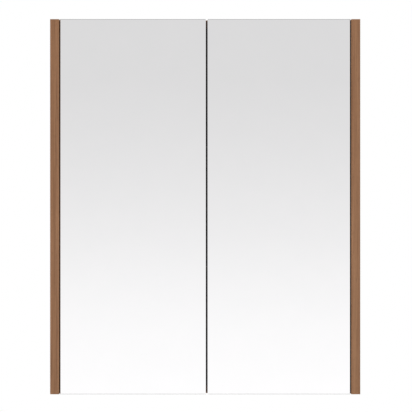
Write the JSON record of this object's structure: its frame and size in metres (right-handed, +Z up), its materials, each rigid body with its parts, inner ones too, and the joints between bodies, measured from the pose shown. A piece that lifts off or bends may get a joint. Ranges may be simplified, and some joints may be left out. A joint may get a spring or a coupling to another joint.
{
  "type": "mirror wall cabinet",
  "caption": "Hanging wall cabinet with full-height mirror doors set between walnut-effect side panels, glass shelves and concealed hinges.",
  "frame": {"origin": "on the wall plane, midway between the screw holes of the two wall plates", "axes": "+X to the cabinet's right as seen from the front, +Y into the wall, +Z up"},
  "size_m": [0.62, 0.15, 0.75],
  "materials": {
    "veneered_board": "satin walnut-effect foil with a fine straight grain",
    "edge_strip": "satin walnut-effect edge strip",
    "back_board": "matt walnut-effect thin board",
    "mirror_glass": "silvered float glass with a ground edge",
    "foam_tape": "grey double-sided foam tape",
    "shelf_glass": "clear float glass with polished edges",
    "nickel_plate": "nickel-plated pressed steel",
    "plated_steel": "zinc-plated steel",
    "pin_steel": "bright steel pins",
    "zinc_casting": "raw zinc casting",
    "beech": "bare fluted beech",
    "white_plastic": "off-white moulded plastic",
    "clear_rubber": "clear soft buffer"
  },
  "bodies": {
    "carcass": {"side_panel_left": "veneered_board", "side_panel_right": "veneered_board", "side_edging_left": "edge_strip", "side_edging_right": "edge_strip", "top_panel": "veneered_board", "bottom_panel": "veneered_board", "panel_edging": "edge_strip", "back_panel": "back_board", "back_rail": "veneered_board", "cam_locks": "zinc_casting", "cam_bolts": "plated_steel", "wood_dowels": "beech", "push_latches": "white_plastic", "shelf_upper": "shelf_glass", "shelf_lower": "shelf_glass", "shelf_pins": "nickel_plate", "shelf_pads": "clear_rubber", "door_buffers": "clear_rubber", "hinge_arms": "nickel_plate", "hinge_arm_pins": "pin_steel", "hinge_arm_screws": "plated_steel", "hinge_plates": "nickel_plate", "hinge_plate_screws": "plated_steel", "hinge_covers": "nickel_plate", "hanger_body_left": "white_plastic", "hanger_body_right": "white_plastic", "hanger_hook_left": "plated_steel", "hanger_hook_right": "plated_steel", "hanger_cover_left": "white_plastic", "hanger_cover_right": "white_plastic", "hanger_screws": "plated_steel", "wall_plate_left": "plated_steel", "wall_plate_right": "plated_steel"},
    "latch_plunger_left": {"latch_plunger_left": "plated_steel"},
    "inner_links_left": {"hinge_inner_links_left": "nickel_plate"},
    "door_left": {"latch_strike_left": "plated_steel", "mirror_left": "mirror_glass", "mirror_tape_left": "foam_tape", "door_board_left": "veneered_board", "door_edging_left": "edge_strip", "hinge_cups_left": "nickel_plate", "hinge_cup_pins_left": "pin_steel", "hinge_cup_screws_left": "plated_steel"},
    "outer_links_left": {"hinge_outer_links_left": "nickel_plate"},
    "latch_plunger_right": {"latch_plunger_right": "plated_steel"},
    "inner_links_right": {"hinge_inner_links_right": "nickel_plate"},
    "door_right": {"latch_strike_right": "plated_steel", "mirror_right": "mirror_glass", "mirror_tape_right": "foam_tape", "door_board_right": "veneered_board", "door_edging_right": "edge_strip", "hinge_cups_right": "nickel_plate", "hinge_cup_pins_right": "pin_steel", "hinge_cup_screws_right": "plated_steel"},
    "outer_links_right": {"hinge_outer_links_right": "nickel_plate"}
  },
  "joints": [
    {"name": "plunger_press_left", "type": "slide", "parent": "carcass", "child": "latch_plunger_left", "axis": [0, 1, 0], "range_m": [0, 0.002], "stiffness_N_per_m": 600},
    {"name": "inner_link_swing_left", "type": "hinge", "parent": "carcass", "child": "inner_links_left", "pos_m": [-0.25075, -0.12468, -0.313], "axis": [0, 0, 1], "range_deg": [0, 30.66]},
    {"name": "door_opening_left", "type": "hinge", "parent": "inner_links_left", "child": "door_left", "pos_m": [-0.27732, -0.13758, -0.313], "axis": [0, 0, -1], "range_deg": [0, 125.64]},
    {"name": "outer_link_swing_left", "type": "hinge", "parent": "door_left", "child": "outer_links_left", "pos_m": [-0.28051, -0.1325, -0.313], "axis": [0, 0, 1], "range_deg": [0, 134.42]},
    {"name": "plunger_press_right", "type": "slide", "parent": "carcass", "child": "latch_plunger_right", "axis": [0, 1, 0], "range_m": [0, 0.002], "stiffness_N_per_m": 600},
    {"name": "inner_link_swing_right", "type": "hinge", "parent": "carcass", "child": "inner_links_right", "pos_m": [0.25075, -0.12468, -0.313], "axis": [0, 0, -1], "range_deg": [0, 30.66]},
    {"name": "door_opening_right", "type": "hinge", "parent": "inner_links_right", "child": "door_right", "pos_m": [0.27732, -0.13758, -0.313], "axis": [0, 0, 1], "range_deg": [0, 125.64]},
    {"name": "outer_link_swing_right", "type": "hinge", "parent": "door_right", "child": "outer_links_right", "pos_m": [0.28051, -0.1325, -0.313], "axis": [0, 0, -1], "range_deg": [0, 134.42]}
  ],
  "couplings": [
    {"joint": "inner_link_swing_left", "follows": "door_opening_left", "ratio": 0.24386},
    {"joint": "outer_link_swing_left", "follows": "door_opening_left", "ratio": 1.0697},
    {"joint": "inner_link_swing_right", "follows": "door_opening_right", "ratio": 0.24386},
    {"joint": "outer_link_swing_right", "follows": "door_opening_right", "ratio": 1.0697}
  ]
}
